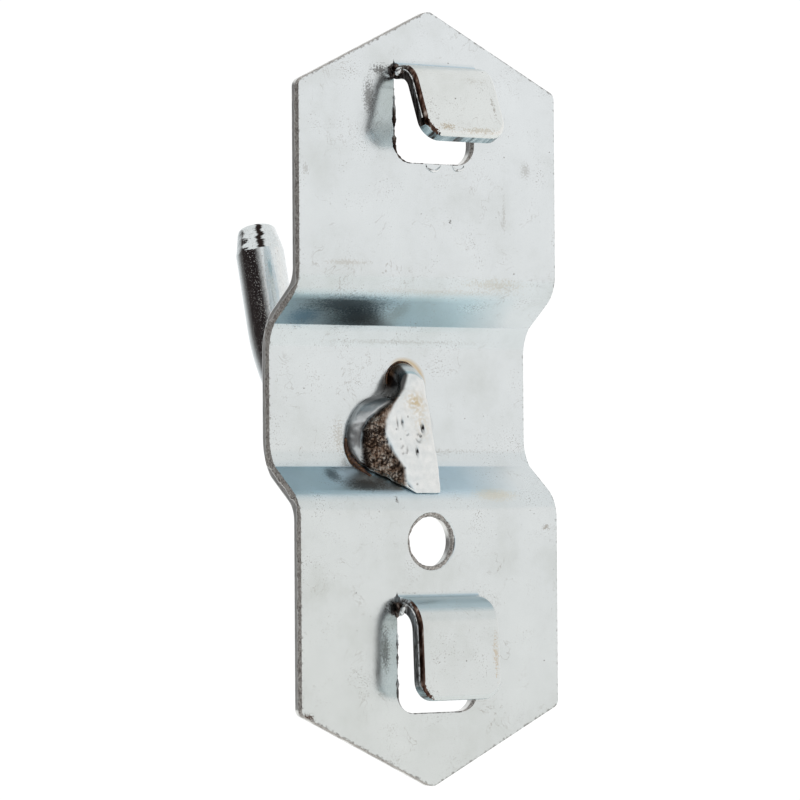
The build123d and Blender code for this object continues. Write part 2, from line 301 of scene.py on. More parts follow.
# %% Stains and painted shade
PATCH_GRAIN = 0.13
PATCH_END, PATCH_FULL = 0.78, 0.18
HEAVY_BREAKUP, MEDIUM_BREAKUP, LIGHT_BREAKUP = 3.2, 1.9, 1.0
STAINS_AND_PAINTED_SHADE = [
    # centre x, y, z and reach x, y, z in mm, colour, strength, and how far the grain breaks it up
    ((10.45, 0.0, -21.95), (0.95, 1.0, 0.60), "#452A18", 0.98, MEDIUM_BREAKUP),
    ((-5.9, -0.4, -6.7), (3.2, 2.0, 0.8), "#DACDB0", 0.42, LIGHT_BREAKUP),
    ((-8.3, 0.0, 16.2), (0.6, 2.0, 0.8), "#7E7668", 0.30, HEAVY_BREAKUP),
    ((-6.4, 0.0, 12.8), (0.2, 2.0, 1.6), "#8C8474", 0.25, HEAVY_BREAKUP),
    ((-1.75, 0.0, 12.35), (0.13, 2.0, 0.22), "#4C4740", 0.80, HEAVY_BREAKUP),
    ((10.3, 0.0, 15.6), (0.4, 2.0, 0.6), "#847A6C", 0.30, HEAVY_BREAKUP),
    ((2.65, -0.2, -7.05), (0.2, 2.0, 0.3), "#4A443D", 0.85, HEAVY_BREAKUP),
    ((-9.9, 0.0, -9.05), (0.45, 2.0, 0.3), "#857A68", 0.55, HEAVY_BREAKUP),
    ((-5.6, 0.0, 8.0), (3.4, 1.5, 0.6), "#B5A583", 0.30, HEAVY_BREAKUP),
    ((-1.0, 0.0, 7.4), (9.0, 1.5, 0.3), "#B3A68C", 0.22, HEAVY_BREAKUP),
    ((7.0, 0.0, 9.3), (2.6, 1.5, 0.3), "#A89D8A", 0.30, HEAVY_BREAKUP),
    # Two rows darken the recess floor along its creases.
    ((0.0, -3.9, 4.05), (8.6, 0.5, 0.24), "#8E8678", 0.24, HEAVY_BREAKUP),
    ((-1.0, -3.9, -3.65), (9.0, 0.5, 0.24), "#8A8272", 0.30, HEAVY_BREAKUP),
    ((5.1, -3.8, -2.6), (0.7, 0.8, 1.6), "#A0917A", 0.30, HEAVY_BREAKUP),
    # Painted shade beside the upper window's left edge, then a dark spot at its top corner.
    ((5.05, 0.0, 20.8), (0.75, 1.0, 2.0), "#45433F", 0.66, MEDIUM_BREAKUP),
    ((4.1, 0.0, 22.7), (1.1, 1.0, 0.55), "#35302C", 0.75, HEAVY_BREAKUP),
    # Painted shade beside the lower window's left edge, then a dark spot at its top corner.
    ((3.95, 0.0, -17.4), (0.60, 1.0, 2.6), "#464440", 0.66, MEDIUM_BREAKUP),
    ((3.3, 0.0, -14.5), (0.95, 1.0, 0.75), "#2C2320", 0.85, MEDIUM_BREAKUP),
    ((1.25, 4.1, 18.6), (1.0, 1.2, 0.38), "#AF9C7C", 0.62, HEAVY_BREAKUP),
    ((-1.4, 4.1, 18.4), (2.2, 1.2, 0.3), "#BBAC90", 0.45, HEAVY_BREAKUP),
    ((-3.1, 3.9, 20.3), (0.25, 1.2, 1.4), "#857A6A", 0.50, HEAVY_BREAKUP),
    ((-2.2, 3.2, 22.0), (1.6, 1.2, 0.35), "#A59C8A", 0.28, HEAVY_BREAKUP),
    ((-3.35, 3.2, -17.8), (0.3, 1.0, 2.2), "#C2AB88", 0.50, HEAVY_BREAKUP),
    # Painted reflections: blue and dark patches on the upper slope, then two dark patches on the lower
    # slope.
    ((8.9, -2.1, 5.6), (2.4, 3.5, 1.1), "#6F95AD", 0.75, LIGHT_BREAKUP),
    ((5.8, -1.5, 6.5), (6.2, 4.0, 1.15), "#34434E", 0.76, LIGHT_BREAKUP),
    ((4.5, -2.6, 5.8), (3.8, 4.0, 1.3), "#42535F", 0.74, LIGHT_BREAKUP),
    ((1.3, -1.8, 6.1), (1.3, 3.0, 1.2), "#8F9B9A", 0.50, LIGHT_BREAKUP),
    ((6.6, -2.2, -5.3), (1.1, 3.0, 0.9), "#2B3238", 0.66, LIGHT_BREAKUP),
    ((4.4, -1.5, -6.0), (3.0, 3.5, 0.8), "#23211F", 0.72, LIGHT_BREAKUP),
]
HEAT_CENTRE = (-0.35, -3.9, 1.05)
HEAT_RADIUS = 1.68
HEAT_WIDTH = 0.30

patch_grain = node(
    sheet, "TexNoise", {"Vector": place, "Scale": 1 / PATCH_GRAIN, "Detail": 3.0, "Roughness": 0.6}
)
patch_off = node(sheet, "Math", [patch_grain, 0.5], "SUBTRACT")
for centre, (reach_x, reach_y, reach_z), colour, strength, broken in STAINS_AND_PAINTED_SHADE:
    away = node(sheet, "VectorMath", [place, centre], "SUBTRACT")
    reach = (1 / reach_x, 1 / reach_y, 1 / reach_z)
    scaled = node(sheet, "VectorMath", [away, reach], "MULTIPLY")
    far = node(sheet, "VectorMath", [scaled], "LENGTH")
    uneven = node(sheet, "Math", [patch_off, broken, far], "MULTIPLY_ADD")
    levels = [uneven, PATCH_END, PATCH_FULL, 0.0, strength]
    mask = node(sheet, "MapRange", levels, interpolation_type="SMOOTHSTEP")
    base_colour = node(sheet, "Mix", {0: mask, 6: base_colour, 7: linear(colour)}, data_type="RGBA")

from_heat = node(sheet, "VectorMath", [place, HEAT_CENTRE], "SUBTRACT")
heat_reach = node(sheet, "VectorMath", [from_heat], "LENGTH")
heat_off = node(sheet, "Math", [heat_reach, HEAT_RADIUS], "SUBTRACT")
heat_gap = node(sheet, "Math", [heat_off], "ABSOLUTE")
heat_ring = node(sheet, "MapRange", [heat_gap, HEAT_WIDTH, 0.0, 0.0, 0.75])
heat_side = node(sheet, "VectorMath", [from_heat, (-0.6, 0.0, 0.8)], "DOT_PRODUCT")
heat_half = node(sheet, "MapRange", [heat_side, 0.3, 1.2])
heat_mask = node(sheet, "Math", [heat_ring, heat_half], "MULTIPLY")
base_colour = node(sheet, "Mix", {0: heat_mask, 6: base_colour, 7: linear("#C2A878")}, data_type="RGBA")
print("stains:", len(STAINS_AND_PAINTED_SHADE))

# %% [markdown]
# ## Specks, hairlines and rims
# Grit from the plating bath leaves specks, more in some patches. Drying liquor leaves fine wandering
# hairlines: they are the lines where a noise passes its middle value. Dirt also gathers along every cut
# edge, so the gap to the outline and to the screw hole is worked out from the plate's own sizes.

# %% Specks and hairlines
SPECK_SIZE = 0.10
SPECK_PATCH = 2.6
DOT_SPACING = 0.8
HAIR_SIZE = 2.2
HAIR_PATCH = 3.4

speck_grit = node(sheet, "TexNoise", {"Vector": place, "Scale": 1 / SPECK_SIZE, "Detail": 2.0})
speck_patches = node(sheet, "TexNoise", {"Vector": place, "Scale": 1 / SPECK_PATCH, "Detail": 3.0})
speck_level = node(sheet, "MapRange", [speck_patches, 0.40, 0.70, 0.72, 0.56])
speck_depth = node(sheet, "Math", [speck_grit, speck_level], "SUBTRACT")
specks = node(sheet, "MapRange", [speck_depth, 0.0, 0.08])

dots = node(sheet, "TexVoronoi", {"Vector": place, "Scale": 1 / DOT_SPACING})
dot_kind = node(sheet, "SeparateColor", [dots.node.outputs["Color"]])
dot_size = node(sheet, "MapRange", [dot_kind, 0.62, 1.0, 0.0, 0.09])
dot_gap = node(sheet, "Math", [dot_size, dots], "SUBTRACT")
dot_mask = node(sheet, "MapRange", [dot_gap, 0.0, 0.03])

hair_field = node(
    sheet,
    "TexNoise",
    {"Vector": place, "Scale": 1 / HAIR_SIZE, "Detail": 4.0, "Roughness": 0.6, "Distortion": 0.6},
)
hair_off = node(sheet, "Math", [hair_field, 0.5], "SUBTRACT")
hair_gap = node(sheet, "Math", [hair_off], "ABSOLUTE")
hair_line = node(sheet, "MapRange", [hair_gap, 0.009, 0.002])
hair_patch = node(sheet, "TexNoise", {"Vector": place, "Scale": 1 / HAIR_PATCH, "Detail": 3.0})
hair_kept = node(sheet, "MapRange", [hair_patch, 0.50, 0.64])
hairs = node(sheet, "Math", [hair_line, hair_kept], "MULTIPLY")
print("sheet nodes with specks and hairs:", len(sheet.nodes))

# %% Rims, and the sheet's shader
HALF_WIDTH = 10.85
HALF_HEIGHT = 26.943
POINT_FALL = 5.35 / HALF_WIDTH
POINT_COS = 1 / math.hypot(1.0, POINT_FALL)
HOLE_MIDDLE = (0.0, 0.0, -9.968)
HOLE_RADIUS = 1.9
RIM_GRAIN = 0.3
RIM_END, RIM_FULL = 0.39, 0.27
SATIN_GRAIN = 0.16
BEND_ROUGHENING = 0.12

off_x, off_z = [node(sheet, "Math", [spot[axis]], "ABSOLUTE") for axis in ("X", "Z")]
side_gap = node(sheet, "Math", [HALF_WIDTH, off_x], "SUBTRACT")
fallen = node(sheet, "Math", [off_x, POINT_FALL, off_z], "MULTIPLY_ADD")
point_room = node(sheet, "Math", [HALF_HEIGHT, fallen], "SUBTRACT")
point_gap = node(sheet, "Math", [point_room, POINT_COS], "MULTIPLY")
from_hole = node(sheet, "VectorMath", [place, HOLE_MIDDLE], "DISTANCE")
hole_gap = node(sheet, "Math", [from_hole, HOLE_RADIUS], "SUBTRACT")
outer_gap = node(sheet, "Math", [side_gap, point_gap], "MINIMUM")
rim_gap = node(sheet, "Math", [outer_gap, hole_gap], "MINIMUM")
rim_grain = node(sheet, "TexNoise", {"Vector": place, "Scale": 1 / RIM_GRAIN, "Detail": 3.0})
rim_uneven = node(sheet, "Math", [rim_grain, 0.7, rim_gap], "MULTIPLY_ADD")
rim = node(sheet, "MapRange", [rim_uneven, RIM_END, RIM_FULL])

for mask, strength, colour in (
    (specks, 0.50, "#746A60"),
    (dot_mask, 0.75, "#5B5147"),
    (hairs, 0.32, "#85796A"),
    (rim, 0.62, "#5A534C"),
):
    share = node(sheet, "Math", [mask, strength], "MULTIPLY")
    base_colour = node(sheet, "Mix", {0: share, 6: base_colour, 7: linear(colour)}, data_type="RGBA")

grain = node(sheet, "TexNoise", {"Vector": place, "Scale": 1 / SATIN_GRAIN, "Detail": 3.0})
grain_gain = node(sheet, "MapRange", [stretched, 0.0, 1.0, 0.5, 1.6])
relief = node(sheet, "Math", [grain, grain_gain], "MULTIPLY")
relief = node(sheet, "Math", [specks, -0.5, relief], "MULTIPLY_ADD")
relief = node(sheet, "Math", [hairs, -0.3, relief], "MULTIPLY_ADD")
sheet_bump = node(sheet, "Bump", {"Height": relief, "Strength": 0.25, "Distance": 0.02 * MM})
sheen = node(sheet, "MapRange", [clouds, 0.3, 0.7, 0.21, 0.14])
# Bending roughens the skin, so the slopes and crowns blur what they mirror
satin = node(sheet, "Math", [stretched, BEND_ROUGHENING, sheen], "MULTIPLY_ADD")
sheet_look = {"Metallic": 1.0, "Base Color": base_colour, "Roughness": satin, "Normal": sheet_bump}
fill(sheet_shader, sheet_look)
print("sheet nodes:", len(sheet.nodes))

# %% [markdown]
# ## The sheared edges
# A blanking punch first rolls the sheet in, then cuts a smooth burnished band, and at last the steel
# tears. So the edge of the plate is half smooth and half rough, and the rough half was left dark under
# thin plating. The edge needs a material of its own, and the faces that get it are found by where they
# lie and which way they face.

# %% Sheared edge material
TEAR_GRAIN = 0.14 * MM
RECESS_MIDDLE = 0.207
RECESS_DEPTH = 3.9
SLOPE_FOOT = 4.406
SLOPE_RISE = math.tan(math.radians(53.0))
SLOPE_COS = math.cos(math.radians(53.0))

sheared_edge, edge, edge_shader, edge_place = new_finish("thin_zinc_on_sheared_steel")
edge_mm = node(edge, "VectorMath", [edge_place, TO_MM], "MULTIPLY")
edge_spot = node(edge, "SeparateXYZ", [edge_mm]).node.outputs
under_back = node(edge, "Math", [edge_spot["Y"], -1.0], "MULTIPLY")
under_floor = node(edge, "Math", [under_back, RECESS_DEPTH], "SUBTRACT")
from_middle = node(edge, "Math", [edge_spot["Z"], RECESS_MIDDLE], "SUBTRACT")
off_middle = node(edge, "Math", [from_middle], "ABSOLUTE")
slope_out = node(edge, "Math", [off_middle, SLOPE_FOOT], "SUBTRACT")
under_slope = node(edge, "Math", [slope_out, SLOPE_RISE, under_floor], "MULTIPLY_ADD")
under_slope = node(edge, "Math", [under_slope, SLOPE_COS], "MULTIPLY")
under_recess = node(edge, "Math", [under_slope, under_floor], "MAXIMUM")
depth = node(edge, "Math", [under_back, under_recess], "MINIMUM")

tear = node(
    edge, "TexNoise", {"Vector": edge_place, "Scale": 1 / TEAR_GRAIN, "Detail": 4.0, "Roughness": 0.7}
)
tear_rim = node(edge, "TexNoise", {"Vector": edge_place, "Scale": 1 / (6 * TEAR_GRAIN), "Detail": 3.0})
tear_edge = node(edge, "Math", [tear_rim, 0.5, depth], "MULTIPLY_ADD")
torn = node(edge, "MapRange", [tear_edge, 0.82, 0.70], interpolation_type="SMOOTHSTEP")
tear_stops = [(0.36, "#655F5C"), (0.52, "#B0ACA8"), (0.64, "#D0CFCC"), (0.70, "#F2F2EF")]
tear_colour = node(edge, "ValToRGB", [tear], stops=tear_stops)
smooth_colour = node(edge, "ValToRGB", [tear_rim], stops=[(0.35, "#CFD1D1"), (0.65, "#ECEDEC")])
edge_colour = node(edge, "Mix", {0: torn, 6: smooth_colour, 7: tear_colour}, data_type="RGBA")
edge_rough = node(edge, "MapRange", [torn, 0.0, 1.0, 0.30, 0.48])
edge_relief = node(edge, "Math", [tear, torn], "MULTIPLY")
edge_bump = node(edge, "Bump", {"Height": edge_relief, "Strength": 0.8, "Distance": 0.08 * MM})
edge_look = {"Metallic": 1.0, "Base Color": edge_colour, "Roughness": edge_rough, "Normal": edge_bump}
fill(edge_shader, edge_look)
print("edge nodes:", len(edge.nodes))

# %% [markdown]
# ## The edges of the tabs
# Each tab was cut on three sides and then bent, so its edges are torn and scorched. The upper tab's edge
# is brown-black, the lower one's is grey with slanting tool marks. Beside the cut, the rim is rolled over
# and brown, and the end of the tab is burnished blue-grey with shear marks across it; round the tab's
# lower corner that finish is a painted highlight. These are four finishes, all with a noise drawn out
# along the marks.

# %% Tab edge materials
SHEAR_MARKS = 0.3
TIP_MARKS = 0.42
MARK_LEVELS = (0.36, 0.47, 0.60, 0.72)
TAB_FINISHES = [
    # name, size of the marks in mm, turn about x and z in degrees, stretch, roughness,
    # and the colours from dark to bright
    (
        "scorched_zinc_on_upper_tab_edge", SHEAR_MARKS, (35.0, 0.0), (1.0, 1.0, 0.22), 0.28,
        ("#1F1613", "#3C302B", "#6E6661", "#C9CED1"),
    ),
    (
        "torn_zinc_on_lower_tab_edge", SHEAR_MARKS * 0.6, (-40.0, 0.0), (1.0, 1.0, 0.2), 0.32,
        ("#4A4644", "#7D7B7B", "#A3A5A8", "#DDE2E5"),
    ),
    (
        "scorched_zinc_on_rolled_rim", SHEAR_MARKS, (0.0, 0.0), (1.0, 1.0, 0.3), 0.30,
        ("#281812", "#432E26", "#735F55", "#BDB4AD"),
    ),
    # Burnished shear band; on the tabs' lower corners it is also a painted highlight.
    (
        "burnished_zinc_and_painted_highlight_on_tab_end", TIP_MARKS, (0.0, 35.0), (1.0, 0.15, 0.15), 0.24,
        ("#3E3836", "#93A5AB", "#BACBD1", "#DCE7EB"),
    ),
]

tab_materials = []
for name, size, (turn_x, turn_z), stretch, roughness, colours in TAB_FINISHES:
    material, tree, shader, tab_place = new_finish(name)
    turned = (math.radians(turn_x), 0.0, math.radians(turn_z))
    marks_place = node(tree, "Mapping", {"Vector": tab_place, "Rotation": turned, "Scale": stretch})
    marks = node(tree, "TexNoise", {"Vector": marks_place, "Scale": 1 / (size * MM), "Detail": 4.0})
    marks_colour = node(tree, "ValToRGB", [marks], stops=list(zip(MARK_LEVELS, colours)))
    marks_bump = node(tree, "Bump", {"Height": marks, "Strength": 0.4, "Distance": 0.05 * MM})
    tab_look = {"Metallic": 1.0, "Base Color": marks_colour, "Roughness": roughness, "Normal": marks_bump}
    fill(shader, tab_look)
    tab_materials.append(material)
print("tab finishes:", [material.name for material in tab_materials])

# %% Give each face of the plate its finish
UPPER_CROWN, LOWER_CROWN = 23.062, -13.818
TAB_LEFT, TAB_RIGHT = 2.95, -3.85
# Each band reaches round the tab's lower corner, so the end finish paints a highlight there too.
TIP_BANDS_WITH_PAINTED_HIGHLIGHT = ((17.2, 18.75), (-21.3, -19.8))
SHEET_FINISH, EDGE_FINISH, UPPER_FINISH, LOWER_FINISH, ROLL_FINISH, END_FINISH = range(6)

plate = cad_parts["back_plate"]
plate.data.materials.clear()
for finish in (plated_sheet, sheared_edge, *tab_materials):
    plate.data.materials.append(finish)


def face_finish(centre, normal):
    """Finish of one face of the plate, from its middle in mm and its normal."""
    x, y, z = centre
    if y > 0.02:
        if any(low < z < high for low, high in TIP_BANDS_WITH_PAINTED_HIGHLIGHT) and normal.z < -0.3 and normal.y < 0.5:
            return END_FINISH
        if normal.y > 0.3 and abs(normal.x) > 0.25:
            return ROLL_FINISH if normal.x > 0 else SHEET_FINISH
        if abs(normal.x) > 0.55:
            return UPPER_FINISH if z > 0 else LOWER_FINISH
        return SHEET_FINISH
    in_root = any(crown - 1.3 < z < crown + 0.6 for crown in (UPPER_CROWN, LOWER_CROWN))
    if in_root and abs(normal.x) < 0.1 and TAB_RIGHT - 0.1 < x < TAB_LEFT + 0.1:
        return SHEET_FINISH
    return EDGE_FINISH if abs(normal.y) < 0.35 else SHEET_FINISH


finish_counts = [0] * len(plate.data.materials)
for polygon in plate.data.polygons:
    polygon.material_index = face_finish(polygon.center / MM, polygon.normal)
    finish_counts[polygon.material_index] += 1
print("plate faces by finish:", finish_counts)

# %% [markdown]
# ## The peg
# The peg is drawn steel rod, bent cold and pointed roughly at its end. The solid has the right line but a
# perfect cone for a tip. Here the rod is built again as rings along the same line, so that the tip can
# have the uneven rim and the rough facets of the real one. A ring is a circle across the line, and
# neighbouring rings are joined by quads.

# %% Piece helpers
def add_piece(name, points, faces, material):
    """Adds a smooth mesh, given in mm, as a piece of the rigid part."""
    mesh = bpy.data.meshes.new(name)
    mesh.from_pydata((np.asarray(points) * MM).tolist(), [], faces)
    mesh.shade_smooth()
    mesh.materials.append(material)
    piece = bpy.data.objects.new(name, mesh)
    scene.collection.objects.link(piece)
    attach(piece, "root")
    return piece


def add_values(piece, name, values):
    """Stores one number per point of a piece, for its material to read."""
    layer = piece.data.attributes.new(name, "FLOAT", "POINT")
    layer.data.foreach_set("value", np.asarray(values, dtype=np.float32))


def ring_faces(rings, around):
    """Quads between closed rings of points, with a cap on each end."""
    last = (rings - 1) * around
    faces = []
    for start in range(0, last, around):
        for i in range(around):
            k = (i + 1) % around
            faces.append((start + i, start + k, start + around + k, start + around + i))
    return faces + [tuple(range(around))[::-1], tuple(range(last, last + around))]


def fade(values, start, full):
    """Smooth step from 0 at start to 1 at full."""
    share = np.clip((values - start) / (full - start), 0.0, 1.0)
    return share * share * (3 - 2 * share)


print("faces of a box from two rings of four:", len(ring_faces(2, 4)))

# %% Peg line and rings
PEG_RADIUS = 1.8
PEG_TAIL_Y = -2.3
PEG_BEND_START_Y = -10.2
PEG_BEND_RADIUS = 10.6
PEG_TURN = math.radians(74.5)
PEG_UPRIGHT = 5.65
TIP_LENGTH = 2.0
TIP_RADIUS = 1.35
TIP_ROUNDING = 0.35
TIP_LEAD = 0.3
BELOW_TIP = -1.0
PEG_AROUND = 144
TEAR_TURN = math.radians(62.0)

peg_low, peg_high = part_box("hook_peg")
peg_z = peg_low.z / MM + PEG_RADIUS
bend_z = peg_z + PEG_BEND_RADIUS
rise = Vector((0.0, -math.cos(PEG_TURN), math.sin(PEG_TURN)))


def bend_point(angle):
    """Point of the peg's line after an angle of its bend."""
    y = PEG_BEND_START_Y - PEG_BEND_RADIUS * math.sin(angle)
    return Vector((0.0, y, bend_z - PEG_BEND_RADIUS * math.cos(angle)))


# Each station is a point of the line, the angle turned so far and the height over the tip's rim
bend_end = bend_point(PEG_TURN)
tail = np.linspace(PEG_TAIL_Y, PEG_BEND_START_Y, 12)
stations = [(Vector((0.0, y, peg_z)), 0.0, BELOW_TIP) for y in tail]
for angle in np.linspace(0.0, PEG_TURN, 72)[1:]:
    stations.append((bend_point(angle), angle, BELOW_TIP))
for run in np.linspace(0.0, PEG_UPRIGHT - TIP_LEAD, 16)[1:]:
    stations.append((bend_end + rise * run, PEG_TURN, BELOW_TIP))
for run in np.linspace(-TIP_LEAD, TIP_LENGTH, 58)[1:]:
    stations.append((bend_end + rise * (PEG_UPRIGHT + run), PEG_TURN, run))


def tip_radius(run, turn):
    """Radius of the tip at a height over its rim, with the rim and the facets left uneven."""
    swirl = Vector((math.cos(turn) * 1.5, math.sin(turn) * 1.5, 0.0))
    rim = 0.12 * noise.noise(swirl * 2.2 + Vector((3.1, 0.0, 0.0))) + 0.04 * noise.noise(swirl * 7.0)
    share = min(max((run - rim) / (TIP_LENGTH - rim), 0.0), 1.0)
    radius = PEG_RADIUS - (PEG_RADIUS - TIP_RADIUS) * share
    over = max(run - (TIP_LENGTH - TIP_ROUNDING), 0.0) / TIP_ROUNDING
    radius -= TIP_ROUNDING * (1.0 - math.sqrt(max(1.0 - over * over, 0.0)))
    facets = noise.noise(swirl * 1.3 + Vector((0.0, 0.0, run * 2.6)))
    scuffs = noise.noise(swirl * 5.0 + Vector((0.0, 0.0, run * 9.0)))
    radius += (0.030 * facets + 0.008 * scuffs) * min(share * 8.0, 1.0) * (1.0 - over)
    return min(radius, PEG_RADIUS)


def tip_tear(run, turn):
    """Share of the dark torn line that runs up the tip."""
    jag = 0.20 * noise.noise(Vector((run * 3.2, 0.0, 2.0)))
    jag += 0.07 * noise.noise(Vector((run * 11.0, 7.0, 0.0)))
    width = 0.19 + 0.14 * noise.noise(Vector((run * 8.0, 3.0, 0.0)))
    line = 1.0 - abs(turn - TEAR_TURN - jag) / max(width, 0.04)
    return min(max(line * 2.5, 0.0), 1.0) if -0.02 < run < TIP_LENGTH - 0.05 else 0.0


peg_points = []
peg_tears = []
for middle, angle, run in stations:
    across = Vector((0.0, math.sin(angle), math.cos(angle)))
    for i in range(PEG_AROUND):
        turn = 2 * math.pi * i / PEG_AROUND
        radius = tip_radius(run, turn) if run > -TIP_LEAD else PEG_RADIUS
        aside = middle + Vector((radius * math.cos(turn), 0.0, 0.0))
        peg_points.append(aside + across * radius * math.sin(turn))
        peg_tears.append(tip_tear(run, turn))
peg_points = np.clip(np.array(peg_points), np.array(peg_low) / MM, np.array(peg_high) / MM)
print("peg rings:", len(stations), "points:", len(peg_points))

# %% Drawn rod material, and the peg
# Drawing leaves faint lines along the rod, finer than a pixel here. So they are made coarser, and faint.
ROD_LINES = 0.12
ROD_SPECK = 0.10
ROD_ROUGHNESS = 0.08

plated_rod, rod, rod_shader, rod_place = new_finish("bright_zinc_on_drawn_rod")
drawn = node(rod, "Mapping", {"Vector": rod_place, "Scale": (1.0, 1.0, 0.08)})
lines = node(rod, "TexNoise", {"Vector": drawn, "Scale": 1 / (ROD_LINES * MM), "Detail": 3.0})
rod_grit = node(rod, "TexNoise", {"Vector": rod_place, "Scale": 1 / (ROD_SPECK * MM), "Detail": 3.0})
rod_specks = node(rod, "MapRange", [rod_grit, 0.62, 0.70])
rod_colour = node(rod, "ValToRGB", [lines], stops=[(0.35, "#DAE1E4"), (0.65, "#E6ECEE")])
rod_tear = node(rod, "Attribute", output="Fac", attribute_name="tear")
for mask, colour in ((rod_specks, "#C9C4BD"), (rod_tear, "#2B2422")):
    rod_colour = node(rod, "Mix", {0: mask, 6: rod_colour, 7: linear(colour)}, data_type="RGBA")
rod_relief = node(rod, "Math", [rod_specks, 4.0, lines], "MULTIPLY_ADD")
rod_bump = node(rod, "Bump", {"Height": rod_relief, "Strength": 0.22, "Distance": 0.02 * MM})
rod_look = {"Metallic": 1.0, "Base Color": rod_colour, "Roughness": ROD_ROUGHNESS, "Normal": rod_bump}
fill(rod_shader, rod_look)

peg = add_piece("hook_peg_rod", peg_points, ring_faces(len(stations), PEG_AROUND), plated_rod)
add_values(peg, "tear", peg_tears)
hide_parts("hook_peg")
print("peg faces:", len(peg.data.polygons))

# %% [markdown]
# ## The weld
# The weld is a mound of steel that ran over the end of the peg and froze. Its crest was plated bright,
# its left flank stayed rough and brown, and gas left pores in it. The solid gives the mound. A voxel
# remesh turns a copy of it into an even skin of small quads, and each point is then moved along its
# normal: a crease down the flank, fine lumps beside it, ripples at the foot and pores in the crest.

# %% Weld skin
WELD_VOXEL = 0.06
SKIN_SMOOTHING = 8
CREST_SMOOTHING = 60
END_SMOOTHING = 90


def read_rows(items, name, width, kind=float):
    """Values of a mesh's items as an array with one row for each item."""
    values = np.zeros(len(items) * width, dtype=kind)
    items.foreach_get(name, values)
    return values.reshape(-1, width)


mound = bpy.data.objects.new("weld_mound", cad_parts["weld_bead"].data.copy())
mound.data.transform(Matrix.Scale(1 / MM, 4))
scene.collection.objects.link(mound)
even_skin = mound.modifiers.new("even_skin", "REMESH")
even_skin.mode = "VOXEL"
even_skin.voxel_size = WELD_VOXEL
soft_skin = mound.modifiers.new("soft_skin", "SMOOTH")
soft_skin.iterations = SKIN_SMOOTHING
skin = bpy.data.meshes.new_from_object(mound.evaluated_get(bpy.context.evaluated_depsgraph_get()))
bpy.data.objects.remove(mound)
skin_points = read_rows(skin.vertices, "co", 3)
skin_normals = read_rows(skin.vertices, "normal", 3)
skin_faces = [tuple(polygon.vertices) for polygon in skin.polygons]
edge_ends = read_rows(skin.edges, "vertices", 2, int)
ends_a, ends_b = edge_ends.T
neighbours = np.bincount(edge_ends.ravel(), minlength=len(skin_points))[:, None]
above_floor = fade(skin_points[:, 1], -3.75, -3.3)[:, None]
at_top, at_foot = fade(skin_points[:, 2], -0.4, 0.3), fade(skin_points[:, 2], -5.0, -5.7)
at_ends = np.maximum(at_top, 0.5 * at_foot)[:, None]
for i in range(CREST_SMOOTHING + END_SMOOTHING):
    total = np.zeros_like(skin_points)
    np.add.at(total, ends_a, skin_points[ends_b])
    np.add.at(total, ends_b, skin_points[ends_a])
    share = above_floor if i < CREST_SMOOTHING else above_floor * at_ends
    skin_points += 0.5 * share * (total / neighbours - skin_points)
print("weld skin points:", len(skin_points))

# %% Weld relief
# Lines down the weld, as (height z, offset x) in mm, from the top to the foot
CREST_EDGE = [
    (1.7, 0.1), (0.7, 0.6), (-0.35, 1.7), (-1.5, 2.5), (-2.4, 2.7),
    (-3.1, 2.55), (-3.9, 2.1), (-4.8, 1.5), (-6.3, 1.4),
]
CREASE = [
    (0.2, 1.7), (-0.2, 2.0), (-0.7, 2.7), (-1.4, 3.4), (-2.1, 3.8),
    (-3.1, 3.9), (-4.0, 3.8), (-4.6, 3.7), (-6.0, 3.0),
]
# Pores as x, z, half width, half height and depth in mm, and whether only the rim is dark
PORES = [
    (1.69, -1.70, 0.06, 0.34, 0.08, False),
    (1.27, -1.65, 0.08, 0.30, 0.12, False),
    (1.03, -2.42, 0.14, 0.14, 0.06, True),
    (-0.40, -2.06, 0.12, 0.36, 0.20, False),
    (0.02, -2.76, 0.24, 0.26, 0.10, True),
    (-0.18, -2.60, 0.09, 0.14, 0.12, False),
    (1.38, -3.59, 0.26, 0.30, 0.03, True),
    (0.33, -3.70, 0.09, 0.30, 0.18, False),
    (0.66, -5.96, 0.07, 0.07, 0.06, False),
    (1.54, -4.84, 0.07, 0.09, 0.08, False),
    (1.83, -2.12, 0.06, 0.06, 0.06, False),
    (1.59, -2.82, 0.05, 0.05, 0.05, False),
    (0.75, -1.25, 0.05, 0.07, 0.05, False),
]
RIPPLE_PITCH = 0.2
RIPPLE_FOOT = (2.1, -5.53)
RIPPLE_ACROSS = (-0.53, 0.85)


def at_height(line, heights):
    """Offset of a line down the weld at each height."""
    down = sorted(line)
    return np.interp(heights, [z for z, _ in down], [x for _, x in down])


def lumps(points, size, seed):
    """Noise between about -1 and 1, with lumps of a size in mm."""
    shift = Vector((seed * 7.3, seed * 1.7, seed * 3.9))
    return np.array([noise.noise(Vector(point) / size + shift) for point in points])


x, y, z = skin_points.T
showing = fade(y, -3.85, -3.3)
past_crest = x - at_height(CREST_EDGE, z)
past_crease = x - at_height(CREASE, z)
along = (x - RIPPLE_FOOT[0]) * RIPPLE_ACROSS[0] + (z - RIPPLE_FOOT[1]) * RIPPLE_ACROSS[1]
below_top = fade(z, 0.6, -0.2)
flank = fade(past_crest, -0.1, 0.2) * (1 - fade(past_crease, -0.1, 0.1)) * fade(z, 1.0, 0.0)
move = flank * (0.035 * lumps(skin_points, 0.4, 1) + 0.035 * lumps(skin_points, 0.16, 2))
move -= 0.09 * np.exp(-((past_crease + 0.05) / 0.14) ** 2) * below_top
move += 0.04 * lumps(skin_points, 0.9, 3) + 0.008 * lumps(skin_points, 0.3, 4)
outer_band = fade(past_crease, 0.0, 0.25)
move += 0.02 * lumps(skin_points, 0.45, 9) * outer_band
ripple_share = fade(along, 0.7, 0.3) * fade(past_crest, 0.3, 0.9) * (1 - outer_band)
